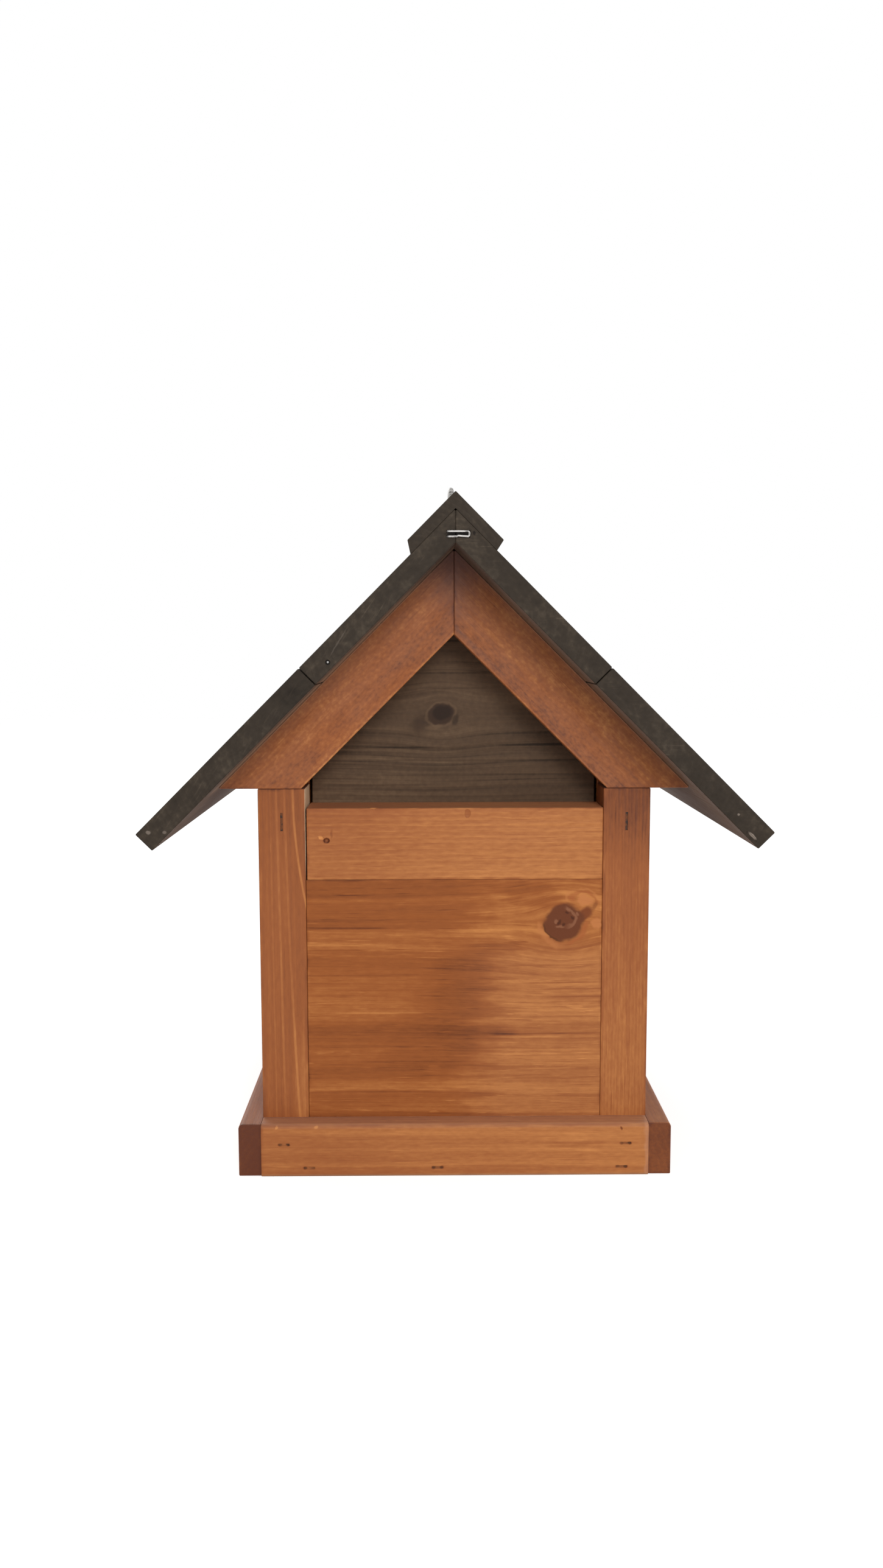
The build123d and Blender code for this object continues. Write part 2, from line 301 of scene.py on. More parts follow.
def loosened(log, seed, spots, reach):
    """Places pushed about by a few millimetres, for outlines that no compass drew."""
    moved = vector("ADD", vector("MULTIPLY", log, (spots,) * 3), (seed,) * 3)
    push = vector("SUBTRACT", clouds(moved, 3, "Color"), (0.5,) * 3)
    return vector("ADD", log, vector("MULTIPLY", push, (reach * mm,) * 3))


@dataclass
class Stain:
    """How strongly each kind of figure shows through the stain on one board: the rings of late wood,
    fibre, grit and band along the grain, clouds, and short dark dashes and pale glints."""

    lift: float = 0.0
    late: float = 0.12
    fibre: float = 0.3
    grit: float = 0.25
    grit_spots: float = 210.0
    band: float = 0.3
    cloud: float = 0.4
    dash: float = 0.1
    glint: float = 0.08
    gloss: float = 0.3


def amber_board(node, grain, face, seed, pith, rings, stain, bend=None, marks=None, paint=None):
    """Softwood board brushed with a clear amber stain, sanded, its edges a little worn.
    Bend turns the grain aside, marks change how deep the stain is, paint lays colours over it."""
    material, place, log = begin("amber_" + node, grain, face)
    bent = bend(log) if bend else log
    late = late_wood(bent, seed, pith, rings, 4 * mm)
    fibre = noise(bent, seed, (11, 620, 620), 4)
    band = noise(bent, seed + 2, (3, 95, 95), 3)
    grit = noise(bent, seed + 7, (stain.grit_spots, 640, 640), 3)
    cloud = noise(log, seed + 3, (9, 22, 22), 3)
    dash = ramp(noise(bent, seed + 5, (42, 1400, 1400)), 0.09, 0.22)
    glint = ramp(noise(bent, seed + 8, (50, 1200, 1200)), 0.11, 0.24)
    sawn = end_grain(place, grain)
    figure = stain.late * (late - 0.3) + stain.fibre * fibre + stain.grit * grit + stain.band * band
    figure = figure - stain.dash * dash + stain.glint * glint
    tone = 0.5 + stain.lift + stain.cloud * cloud + figure * (1.0 - 0.5 * sawn) - 0.38 * sawn
    edge = arris(place, node, 2 * mm)
    tone = tone + edge * (0.9 * noise(log, seed + 9, (60, 90, 90)) - 0.05)
    if marks:
        tone = marks(log, tone)
    colour = stained(tone, *amber_stops)
    if paint:
        colour = paint(log, colour)
    # Upward faces turn greyer: dusty, and with a painted sheen of the light from above.
    colour = mixed(colour, dust_and_sheen, 0.1 * lying(place))
    relief = 0.5 * fibre + 0.2 * late + 0.3 * grit - 0.3 * dash
    dress(material, colour, 0.58 + 0.35 * fibre, relief, 0.16 * mm, stain.gloss)
    cover(node, material)


def take(piece):
    """Selects one object alone."""
    bpy.ops.object.select_all(action="DESELECT")
    piece.select_set(True)
    bpy.context.view_layer.objects.active = piece


def copy_of(model, name):
    """A copy of an object, with a mesh of its own."""
    take(model)
    bpy.ops.object.duplicate()
    copy = bpy.context.object
    copy.name = name
    return copy


def worn_copy(node, body, hollows):
    """Stands for a board of the frame: the same board with hollows pressed into its front. Each is an
    oval ball sunk in the wood: its place across and up, its reach, and its lean in degrees."""
    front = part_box(node)[0].y
    worn = copy_of(frame["nodes"][node], "worn_" + node)
    del worn["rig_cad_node"]
    bpy.ops.mesh.customdata_custom_splitnormals_clear()
    bpy.ops.object.mode_set(mode="EDIT")
    bpy.ops.mesh.select_all(action="SELECT")
    bpy.ops.mesh.remove_doubles(threshold=0.001 * mm)
    bpy.ops.object.mode_set(mode="OBJECT")
    for (across, height), reach, lean in hollows:
        bpy.ops.object.select_all(action="DESELECT")
        bpy.ops.mesh.primitive_uv_sphere_add(
            segments=20, ring_count=12, location=(across * mm, front, height * mm),
            rotation=(0.0, math.radians(lean), 0.0), scale=[size * mm for size in reach],
        )
        ball = bpy.context.object
        bpy.ops.object.transform_apply()
        take(worn)
        cut = worn.modifiers.new("hollow", "BOOLEAN")
        cut.operation = "DIFFERENCE"
        cut.solver = "EXACT"
        cut.object = ball
        bpy.ops.object.modifier_apply(modifier=cut.name)
        bpy.data.objects.remove(ball)
    bpy.ops.object.mode_set(mode="EDIT")
    bpy.ops.mesh.select_all(action="SELECT")
    bpy.ops.mesh.dissolve_degenerate(threshold=0.001 * mm)
    bpy.ops.object.mode_set(mode="OBJECT")
    bpy.ops.object.shade_smooth_by_angle(angle=math.radians(30))
    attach(worn, body)
    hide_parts(node)


skirt_face = -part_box("front_skirt")[0].y
left_nick = (-92, 26.2)
middle_nick = (-71.4, 26.4)
right_nick = (85.8, 25)
flat_nick = (0.9, 0.5, 0.5)
tall_nick = (0.4, 0.4, 0.8)
nick_lean = -20
foot_grey = (150, 116, 86)
chafed_end = (196, 142, 110)
staple_half = 2.2
# Staples along the front: place across and up, and how dark the holes at the left and right end are
front_staples = (
    (-88, 17, 0.7, 1.0),
    (88, 17, 0.4, 0.9),
    (-75, 4.5, 0.8, 0.2),
    (-9, 4.5, 0.8, 0.8),
    (86, 4.5, 0.5, 0.9),
)


def staple_holes(log):
    """Holes at the ends of the staples, torn wide where the legs went in."""
    loose = loosened(log, 62, 500, 1.2)
    holes = 0.0
    for across, height, left_share, right_share in front_staples:
        for end, share in ((-1, left_share), (1, right_share)):
            hole = oval(loose, (across + end * staple_half, height), (1.3, 0.85))
            holes = holes + share * ramp(hole, 1.2, 0.5)
    return holes


def front_skirt_paint(log, colour):
    """The lower edge, greyed by the ground, the rounded top dusty and with a painted sheen, and the right
    end, chafed pale.
    """
    along, over, deep = parts(log)
    torn = 5 * mm * noise(log, 76, (260, 150, 150), 4)
    return layered(
        colour,
        # The rounded top dusty, with a painted sheen.
        (dust_and_sheen, 0.06 * ramp_mm(over, 25, 27)),
        (chafed_end, 0.4 * ramp_mm(along + torn, 97.2, 98.8)),
        (foot_grey, 0.6 * ramp_mm(over, 1.6, 0.4)),
    )


def front_skirt_marks(log, tone):
    """Golden towards the right, with a fan of pale figure near that end, three nicks on top and dark
    holes round the staples."""
    along, over, deep = parts(log)
    tone = tone + 0.1 * ramp_mm(along, -60, 70)
    fan = ramp(oval(log, (62, 16), (18, 7), 8), 1.2, 0.5)
    tone = tone + 0.7 * fan * noise(log, 60, (25, 420, 420))
    skin = ramp_mm(skirt_face - deep, 3, 1.5)
    loose = loosened(log, 61, 300, 2)
    for middle, change, reach in (
        (left_nick, 0.3, (1.0, 0.7)),
        (middle_nick, 0.25, (1.0, 0.7)),
        (right_nick, -0.3, (0.6, 1.0)),
    ):
        tone = tone + change * skin * ramp(oval(loose, middle, reach, 20), 1.3, 0.4)
    return tone - 0.42 * staple_holes(log)


plain = Stain(late=0.07, grit=0.22, band=0.34)
skirt_front_stain = Stain(lift=0.07, late=0.06, fibre=0.2, grit=0.2, band=0.26, cloud=0.26, dash=0.07)
amber_board(
    "front_skirt", level, to_front, 2, (0.05, 0.02), 3.2 * mm, skirt_front_stain,
    marks=front_skirt_marks, paint=front_skirt_paint,
)
skirt_hollows = (
    (left_nick, flat_nick, nick_lean),
    (middle_nick, flat_nick, nick_lean),
    (right_nick, tall_nick, nick_lean),
)
worn_copy("front_skirt", "house", skirt_hollows)
amber_board("rear_skirt", level, to_rear, 3, (0.04, 0.03), 3.2 * mm, plain)
amber_board("left_skirt", lengthwise, to_left, 4, (0.03, 0.04), 3.4 * mm, Stain(lift=-0.06, late=0.05))
amber_board("right_skirt", lengthwise, to_right, 5, (-0.01, 0.05), 3.4 * mm, Stain(lift=0.08, late=0.05))

# Corner posts: four lengths of square batten, standing on the floor at the corners of the house.
# The walls and gables are stapled to them, and the rafters stand on their tops.
post_low, post_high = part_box("front_left_post")
post_length = post_high.z - post_low.z
# Pale of the left post's inner face: bare wood, with a painted highlight.
bare_and_lit_inner_face = (246, 214, 176)
# Sapwood stripes of the left post: strength, then place at the top, lean, bow and width in millimetres
sap_stripes = (
    (0.2, 90.6, -2.8, 0.0, 0.9),
    (0.12, 93.8, -1.2, 0.0, 0.6),
    (0.2, 86.4, -2.4, -4.2, 0.9),
    (0.36, 82.1, 0.0, -60, 0.9),
)


def left_post_marks(log, tone):
    """Four pale stripes that run off towards the inner edge, a broad pale patch low beside it, and painted
    shade under the eave at the top.
    """
    along, over, deep = parts(log)
    down = (post_high.z - along) / post_length
    stripes = 0.0
    for strength, start, lean, bow, width in sap_stripes:
        middle = start * mm + lean * mm * down + bow * mm * down * down
        stripes = stripes + strength * ramp_mm(abs(over - middle), width, 0.3 * width)
    fade = 0.75 + 1.2 * noise(log, 61, (14, 0, 0))
    broad = ramp_mm(over, 83.4, 81.6) * ramp_mm(along, 96, 45)
    # The last term is painted shade under the eave, at the top.
    return tone + stripes * fade + 0.16 * broad - 0.05 * ramp_mm(along, 130, 200)


def left_post_paint(log, colour):
    """The inner face above the rail, painted pale: bare wood the brush did not reach, and a painted
    highlight of the light falling on it.
    """
    along, over, deep = parts(log)
    # Painted highlight and bare wood on the inner face above the rail.
    pale_inner_face = ramp_mm(over + post_high.x, 0.25, 0.05)
    return mixed(colour, bare_and_lit_inner_face, pale_inner_face * ramp_mm(along, 150, 170))


def right_post_marks(log, tone):
    """Painted shade under the eave at the top, and more golden towards the foot."""
    along, over, deep = parts(log)
    # Painted shade under the eave at the top.
    return tone - 0.29 * ramp_mm(along, 150, 195) + 0.07 * ramp_mm(along, 130, 60)


left_post_stain = Stain(lift=-0.03, late=0.04, fibre=0.24, grit=0.2, band=0.3, cloud=0.3, dash=0.08)
right_post_stain = Stain(lift=0.05, late=0.05, fibre=0.2, grit=0.24, band=0.14, cloud=0.2, dash=0.14)
amber_board(
    "front_left_post", upright, to_front, 6, (0.2, 0.1), 4.4 * mm, left_post_stain,
    marks=left_post_marks, paint=left_post_paint,
)
amber_board(
    "front_right_post", upright, to_front, 7, (0.1, 0.1), 1.7 * mm, right_post_stain, marks=right_post_marks
)
amber_board("rear_left_post", upright, to_rear, 8, (0.15, 0.05), 3 * mm, plain)
amber_board("rear_right_post", upright, to_rear, 9, (-0.2, 0.05), 2.6 * mm, plain)

# Rails: the stout board across each gable, let in between the posts just under the roof.
# The gable board of the roof drops down behind it.
rail_face = -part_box("front_rail")[0].y
dent_place = (-65.2, 173.4)
drag_place = (-62.6, 176.8)
crease_place = (-68.2, 174.8)
chip_place = (-40.9, 190.2)
sunk_mark = (6.8, 187.2)


def front_rail_marks(log, tone):
    """A nail dent at the left, a chip in the top edge, a sunk mark, and a stain paler to the right."""
    along, over, deep = parts(log)
    tone = tone + 0.1 * ramp_mm(along, -70, 20) - 0.06 * ramp_mm(over, 183, 190)
    loose = loosened(log, 61, 300, 2)
    skin = ramp_mm(rail_face - deep, 1.6, 0.8)
    for middle, reach, tilt, change, rim, core in (
        (dent_place, (1.9, 1.6), 0.0, -0.5, 1.15, 0.5),
        (drag_place, (0.8, 2.6), 0.0, -0.2, 1.2, 0.4),
        (sunk_mark, (1.6, 2.4), 0.0, -0.16, 1.15, 0.8),
        (crease_place, (1.6, 1.0), -25, 0.5, 1.1, 0.4),
        (chip_place, (2.3, 1.0), 0.0, 0.3, 1.15, 0.6),
    ):
        tone = tone + change * skin * ramp(oval(loose, middle, reach, tilt), rim, core)
    return tone


rail_front_stain = Stain(
    lift=0.1, late=0.05, fibre=0.18, grit=0.24, band=0.18, cloud=0.2, dash=0.12, glint=0.1
)
amber_board(
    "front_rail", level, to_front, 10, (0.3, -0.02), 2.2 * mm, rail_front_stain, marks=front_rail_marks
)
rail_hollows = (
    (dent_place, (1.6, 1.3, 1.4), 0.0),
    (crease_place, (1.5, 0.4, 0.8), 0.0),
    (chip_place, (2.2, 1.0, 0.8), 0.0),
    (sunk_mark, (1.5, 0.3, 2.3), 0.0),
)
worn_copy("front_rail", "house", rail_hollows)
amber_board("rear_rail", level, to_rear, 11, (0.1, -0.02), 2.8 * mm, plain)

# Panels: the wide board that closes each gable under its rail. The front one is whole, with one
# big knot, and the rear one has the round entrance bored through it.
knot_middle = (56.4, 130.4)
knot_reach = (10, 9.2)
knot_dark = (72, 36, 20)
knot_brown = (107, 58, 34)
knot_grey = (146, 96, 68)
halo_gold = (196, 124, 72)
halo_rust = (166, 92, 50)
tail_brown = (118, 60, 32)
# Lines along the grain of the front one: start, end and height in millimetres, and how dark they are
dark_lines = (
    (-80, -30, 127.8, 0.14),
    (-80, -40, 116.3, 0.18),
    (-80, -10, 103, 0.1),
    (-70, 0.0, 95, 0.08),
    (27, 39, 120.3, 0.18),
    (12, 36, 116.5, 0.16),
    (20, 76, 108, 0.1),
    (30, 80, 98.6, 0.16),
    (40, 82, 95.2, 0.14),
    (46, 82, 91, 0.16),
    (44, 82, 88.4, 0.12),
    (30, 82, 80.6, 0.1),
    (10, 82, 71.8, 0.22),
    (-10, 70, 64, 0.1),
    (-60, 20, 57, 0.1),
    (20, 82, 48, 0.08),
    (-70, 10, 41, 0.08),
)
pale_lines = ((10, 60, 70.2), (15, 60, 61), (30, 70, 53), (-65, -5, 83))


def streak(log, start, end, across, width):
    """Thin line along the grain between two places, fading at both ends, all in millimetres."""
    along, over, deep = parts(log)
    fade = 0.25 * (end - start)
    wave = noise(log, 50 + start * mm, (16, 0, 0)) * 2.5 * mm
    line = ramp_mm(abs(over - across * mm + wave), width, 0.2 * width)
    return line * ramp_mm(along, start, start + fade) * ramp_mm(along, end, end - fade)


def around(log, middle, reach):
    """The log's grain turned aside round a knot on the board's face."""
    along, over, deep = parts(log)
    distance = oval(log, middle, reach)
    square = distance * distance
    knot_line = middle[1] * mm
    turned = knot_line + (over - knot_line) * (square / (square + 1.0))
    return log.node("ShaderNodeCombineXYZ", inputs={"X": along, "Y": turned, "Z": deep})


def front_panel_bend(log):
    """Grain that parts round the big knot."""
    return around(log, knot_middle, (15, 13))


def front_panel_marks(log, tone):
    """Golden to the right, with a dark cloud in the middle, a pale band to the left, a dark wedge at the
    upper right, thin dark and pale lines, and pale flecks lower down."""
    along, over, deep = parts(log)
    torn = noise(log, 62, (16, 230, 0), 4)
    waver = noise(log, 69, (30, 45, 0), 3)
    gold = ramp_mm(along + torn * 70 * mm + waver * 40 * mm, 2, 26)
    cloud = oval(log, (0, 82), (42, 19), 60) + 1.7 * torn + 1.6 * waver
    tone = tone - 0.07 + 0.2 * gold - 0.15 * ramp(cloud, 1.5, 0.2)
    band = ramp_mm(over, 127.6, 126.8) * ramp_mm(over, 113, 124) * ramp_mm(along, 55, 15)
    wedge = oval(log, (42, 145), (20, 8), -10) + 1.6 * torn + waver
    tone = tone + 0.2 * band - 0.18 * ramp(wedge, 1.2, 0.4)
    tone = tone + 0.06 * ramp_mm(over, 105, 75) * ramp_mm(along, 20, -10)
    near_knot = ramp(oval(log, knot_middle, knot_reach), 3, 1.1)
    swept = noise(front_panel_bend(log), 67, (6, 420, 0), 2)
    tone = tone + 0.6 * near_knot * swept
    for start, end, height, weight in dark_lines:
        tone = tone - weight * streak(log, start, end, height, 0.7)
    for start, end, height in pale_lines:
        tone = tone + 0.14 * streak(log, start, end, height, 0.8)
    fleck = ramp(noise(log, 63, (70, 420, 420)), 0.17, 0.24)
    return tone + 0.12 * fleck * ramp_mm(over, 110, 80)


def front_panel_paint(log, colour):
    """Dust at the lower right, and the knot: a brown core with a greyer curl in it, a dark tail up to
    the right, and above that a pale eye under a darker brow."""
    loose = loosened(log, 64, 140, 5)
    along, over, deep = parts(loose)
    core = oval(loose, knot_middle, knot_reach, 40)
    tail = oval(loose, (66.6, 134.6), (5.6, 2.7), 36)
    wisp = oval(loose, (72.6, 139.4), (1.3, 3.2), -14)
    eye = oval(loose, (67, 141.8), (4.4, 2.6), -12)
    curl = oval(loose, (57.5, 132.9), (4.5, 4.9))
    cheek = oval(loose, (73, 129.8), (2.6, 3.4))
    above = ramp_mm(over, 140.5, 142.5)
    below = ramp_mm(over, 132, 128)
    leftward = ramp_mm(along, 58, 52)
    rightward = ramp_mm(along, 56, 61)
    colour = layered(
        colour,
        (dust_and_sheen, 0.03 * ramp_mm(over, 128, 108) * ramp_mm(along, -10, 30)),
        (halo_gold, 0.5 * ramp(abs(core - 1.28), 0.26, 0.04) * leftward * below),
        (halo_rust, 0.7 * ramp(abs(core - 1.2), 0.22, 0.08) * rightward * below),
        (halo_gold, 0.8 * ramp(cheek, 1.2, 0.7)),
        (halo_rust, 0.6 * ramp(abs(eye - 1.55), 0.45, 0.05) * above),
        (halo_gold, 0.4 * ramp(abs(eye - 2.15), 0.3, 0.05) * above),
        (tail_brown, 0.5 * ramp(wisp, 1.3, 0.4)),
        (tail_brown, 0.9 * ramp(tail, 1.3, 0.6)),
        (halo_gold, 0.9 * ramp(eye, 1.25, 0.7)),
        (knot_brown, ramp(core, 1.16, 0.88)),
        (knot_dark, 0.7 * ramp(abs(core - 0.99), 0.09, 0.02) * leftward * below),
        (knot_grey, 0.7 * ramp(abs(curl - 1.0), 0.24, 0.08) * rightward),
    )
    for middle, reach, tilt, finish, share in (
        ((51.8, 131.4), (1.3, 1.0), 0.0, knot_grey, 0.7),
        ((54.4, 128.5), (2.6, 0.8), -8, knot_grey, 0.7),
        ((58.9, 136.9), (0.9, 1.3), 30, knot_grey, 0.7),
        ((63.2, 134.8), (0.7, 1.6), 0.0, knot_grey, 0.7),
        ((57.8, 135), (1.0, 0.9), 0.0, knot_dark, 0.8),
        ((53.6, 130.6), (1.3, 0.9), 40, knot_dark, 0.8),
        ((60.1, 132.2), (0.8, 1.6), 20, knot_dark, 0.8),
        ((56.1, 129.3), (1.1, 0.7), 0.0, knot_dark, 0.8),
    ):
        colour = mixed(colour, finish, share * ramp(oval(loose, middle, reach, tilt), 1.2, 0.5))
    return colour


def broad_patches(seed):
    """Marks of a board on which the stain is deep in some broad patches and golden in others."""

    def marks(log, tone):
        torn = noise(log, seed, (14, 200, 200), 4)
        patch = noise(log, seed + 1, (8, 17, 17), 3)
        return tone + 1.1 * patch + 0.4 * torn

    return marks


def small_knot(middle, reach):
    """Bend and paint of a board with one small sound knot, its middle and reach in millimetres."""

    def turn(log):
        return around(log, middle, (1.6 * reach, 1.5 * reach))

    def paint(log, colour):
        core = oval(loosened(log, 68, 160, 4), middle, (1.15 * reach, 0.9 * reach), 25)
        return layered(
            colour,
            (halo_rust, 0.6 * ramp(abs(core - 1.25), 0.4, 0.05)),
            (knot_brown, 0.85 * ramp(core, 1.2, 0.75)),
            (knot_dark, 0.6 * ramp(abs(core - 0.95), 0.18, 0.03)),
            (knot_dark, 0.6 * ramp(core, 0.55, 0.15)),
        )

    return turn, paint


panel_front_stain = Stain(
    lift=0.01, fibre=0.36, grit=0.2, band=0.34, cloud=0.14, dash=0.14, glint=0.14, gloss=0.15
)
amber_board(
    "front_panel", level, to_front, 12, (0.1, -0.05), 4.6 * mm, panel_front_stain,
    bend=front_panel_bend, marks=front_panel_marks, paint=front_panel_paint,
)
rear_turn, rear_paint = small_knot((-47, -59), 4.6)
amber_board(
    "rear_panel", level, to_rear, 13, (0.07, -0.05), 4 * mm, plain,
    bend=rear_turn, marks=broad_patches(80), paint=rear_paint,
)

# Side walls: two boards on each long side, stapled between the posts. The upper one is bevelled
# along its top to lie close under the roof.
for node, face, seed, pith, knot_place, knot_size in (
    ("left_lower_wall", to_left, 14, (0.03, 0.02), (34, -71), 3.8),
    ("left_upper_wall", to_left, 15, (0.13, 0.02), (-41, -148), 5.2),
    ("right_lower_wall", to_right, 16, (0.05, 0.03), (-22, 64), 4.4),
    ("right_upper_wall", to_right, 17, (0.18, 0.02), (47, 133), 3.2),
):
    wall_turn, wall_paint = small_knot(knot_place, knot_size)
    amber_board(
        node, lengthwise, face, seed, pith, 3.4 * mm, plain,
        bend=wall_turn, marks=broad_patches(70 + seed), paint=wall_paint,
    )

# Staples of the house: galvanised wire driven by air, their crowns sunk just under the face and
# browned by the stain that ran into the slots.
staple_dark = (52, 30, 18)
staple_brown = (112, 66, 38)
fibre_brown = (170, 104, 58)


def staple_wire(name, thin, thick):
    """Stained steel wire, with the colour of the stain where it is thin and where it pooled."""
    material, place, log = begin(name, level, upright)
    pooled = ramp(noise(log, 1, (480, 480, 480)), -0.06, 0.1)
    colour = mixed(thin, thick, pooled)
    dress(material, colour, 0.72 - 0.2 * pooled, pooled, 0.05 * mm)
    return material


def covered_wire(name):
    """Wire of the skirt's staples, which sanded fibres almost cover, with dark holes at its ends."""
    material, place, log = begin(name, level, to_front)
    patchy = noise(log, 2, (300, 300, 300))
    colour = mixed(fibre_brown, staple_brown, 0.5 * ramp(patchy, -0.1, 0.1))
    colour = mixed(colour, staple_dark, 0.8 * staple_holes(log))
    dress(material, colour, 0.75 - 0.2 * patchy, patchy, 0.1 * mm)
    return material


sunk_wire = staple_wire("sunk_staple_wire", staple_brown, staple_dark)
for group in ("post_staples", "frame_staples"):
    cover(group, sunk_wire)
cover("skirt_staples", covered_wire("covered_staple_wire"))

# Rafters: a mitred pair on each gable, standing on the post tops and carrying the roof planks.
# They are amber boards like the walls, sawn rougher, with painted shadow under the planks and painted shade
# at the peak.
plank_thickness = 11.2 * mm
eave_low, eave_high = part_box("right_lower_plank")
plank_line = (eave_high.x + eave_low.z) * math.sqrt(0.5) - plank_thickness / 2
# Painted shadow under the planks, painted light for the shaded groove in the very corner, and painted shade
# at the peak.
plank_shadow_brown = (104, 70, 57)
groove_light_brown = (176, 132, 104)
peak_shade_brown = (90, 66, 64)


def rafter_marks(log, tone):
    """Blotched stain, with painted shade that deepens towards the lower edge, and that edge rubbed pale."""
    along, over, deep = parts(log)
    below_planks = plank_line - abs(over)
    tone = tone + 0.4 * noise(log, 72, (90, 190, 190), 4)
    # Painted shade deepening towards the lower edge, then the rubbed pale edge.
    return tone - 0.12 * ramp_mm(below_planks, 10, 26) + 0.2 * ramp_mm(below_planks, 28.4, 29.8)


def rafter_paint(log, colour):
    """Dusty all over, with painted shadow close up under the planks, a pale painted light in the very corner
    that lifts the shade of the groove there, and painted shade darkest at the peak."""
    along, over, deep = parts(log)
    below_planks = plank_line - abs(over)
    return layered(
        colour,
        # Painted shadow under the planks, then painted light lifting the groove's shade in the corner.
        (plank_shadow_brown, 0.2 * ramp_mm(below_planks, 8, 0)),
        (groove_light_brown, 0.6 * ramp_mm(below_planks, 1.0, 0.4)),
        (dust_and_sheen, 0.04 * ramp(noise(log, 75, (40, 90, 90), 3), -0.3, 0.3)),
        # Painted shade at the peak.
        (peak_shade_brown, 0.8 * ramp_mm(along + plank_line, 35, 2)),
    )


for side_name, side, lift in (("left", -1, 0.05), ("right", 1, 0.02)):
    rafter_stain = Stain(lift=lift, late=0.03, fibre=0.2, grit=0.6, grit_spots=440, cloud=0.3, dash=0.07)
    for end_name, end in (("front", -1), ("rear", 1)):
        amber_board(
            f"{end_name}_{side_name}_rafter", (side, 0, -1), (0, end, 0), 20 + end + 3.1 * side,
            (0.3, 0.02), 2.4 * mm, rafter_stain, marks=rafter_marks, paint=rafter_paint,
        )

# Gable boards: a dark board behind each pair of rafters, fixed to them with staples, that drops
# down behind the rail when the roof is on. A knot shows in the front one.
brown_stops = ((46, 35, 26), (88, 69, 53), (128, 104, 80))
gable_knot = (-6.4, 236.4)
gable_knot_reach = (6.7, 5.3)
gable_heart = (-5.6, 237.2)
gable_dark = (44, 33, 27)
gable_brown = (64, 48, 38)
gable_pale = (112, 89, 68)


def charcoal_board(
    node, grain, face, seed, pith, stops, lift=0.0, ring=0.16, bend=None, marks=None, paint=None
):
    """Rough-sawn softwood under a dark stain that lets the grain show. Stops are the stain's deep,
    middle and pale colours. Bend, marks and paint work as they do on an amber board."""
    material, place, log = begin("charcoal_" + node, grain, face)
    bent = bend(log) if bend else log
    sawn = end_grain(place, grain)
    late = late_wood(bent, seed, pith, 3 * mm, 5 * mm)
    fibre = noise(bent, seed, (10, 600, 600), 4)
    band = noise(bent, seed + 2, (3, 110, 110), 3)
    grit = noise(log, seed + 7, (420, 420, 420), 3)
    scratch = ramp(noise(bent, seed + 5, (22, 1100, 1100)), 0.1, 0.24)
    cloud = noise(log, seed + 3, (9, 24, 24), 3)
    figure = ring * (late - 0.3) + 0.34 * fibre + 0.35 * band
    tone = 0.48 + lift + figure * (1.0 - 0.65 * sawn) + 0.4 * cloud
    tone = tone + 0.12 * scratch * (1.0 - sawn) + 0.3 * grit
    if marks:
        tone = marks(log, tone)
    colour = stained(tone, *stops)
    if paint:
        colour = paint(log, colour)
    dress(material, colour, 0.7 + 0.3 * fibre, 0.5 * fibre + 0.3 * late + 0.4 * grit, 0.22 * mm, gloss=0.14)
    cover(node, material)


def front_gable_bend(log):
    """Grain that parts round the knot."""
    return around(log, gable_knot, (10, 9))


def front_gable_marks(log, tone):
    """A few long dark lines, a painted shadow that deepens towards the right and the peak, and a tone that
    is palest at the lower left."""
    along, over, deep = parts(log)
    # Painted shadow towards the right, under the right rafter, and towards the peak.
    tone = tone - 0.1 * ramp_mm(along, 10, 60) - 0.1 * ramp_mm(over, 245, 275)
    tone = tone + (0.05 + 0.05 * ramp_mm(along, 0, -40)) * ramp_mm(over, 228, 208)
    shadowy = oval(log, (-17, 231), (10, 6), 30)
    hairline = ramp(noise(front_gable_bend(log), 74, (5, 330, 0), 2), 0.06, 0.2)
    tone = tone - 0.16 * ramp(shadowy, 1.2, 0.4) - 0.22 * hairline
    for start, end, height, weight in (
        (20, 75, 220.3, 0.3),
        (-75, 0.0, 218.8, 0.22),
        (-75, 75, 212, 0.14),
        (-75, -5, 199, 0.16),
        (-40, 70, 204.5, 0.14),
        (-30, 30, 258, 0.2),
        (-20, 25, 250, 0.14),
    ):
        tone = tone - weight * streak(log, start, end, height, 0.9)
    return tone


def front_gable_paint(log, colour):
    """The knot: a dark tilted oval with a pale crescent under it and a dark ear at the right."""
    loose = loosened(log, 65, 130, 4)
    core = oval(loose, gable_knot, gable_knot_reach, 16)
    heart = oval(loose, gable_heart, (5.4, 4), 16)
    ear = oval(loose, (1.4, 234), (1.7, 3), -20)
    crescent = oval(loose, (-10.2, 229.8), (4.6, 1.7), 12)
    smear = oval(loose, (-17.5, 231.5), (3.4, 5), -35)
    return layered(
        colour,
        (gable_brown, 0.55 * ramp(smear, 1.3, 0.4)),
        (gable_pale, 0.3 * ramp(abs(core - 1.18), 0.16, 0.04)),
        (gable_pale, 0.5 * ramp(crescent, 1.3, 0.5)),
        (gable_dark, 0.6 * ramp(ear, 1.3, 0.6)),
        (gable_brown, ramp(core, 1.14, 0.9)),
        (gable_dark, 0.8 * ramp(heart, 1.15, 0.7)),
    )


charcoal_board(
    "front_gable_board", level, to_front, 30, (0.25, 0.0), brown_stops, ring=0.07,
    bend=front_gable_bend, marks=front_gable_marks, paint=front_gable_paint,
)
charcoal_board("rear_gable_board", level, to_rear, 31, (0.22, 0.0), brown_stops, ring=0.07)

# Ridge beam: a length of bare pine under the ridge, between the two gable boards, that the
# lifting eye is screwed into.
cover("ridge_beam", bare_pine("bare_pine_beam", lengthwise, upright, 32, (0.0, 0.25)))

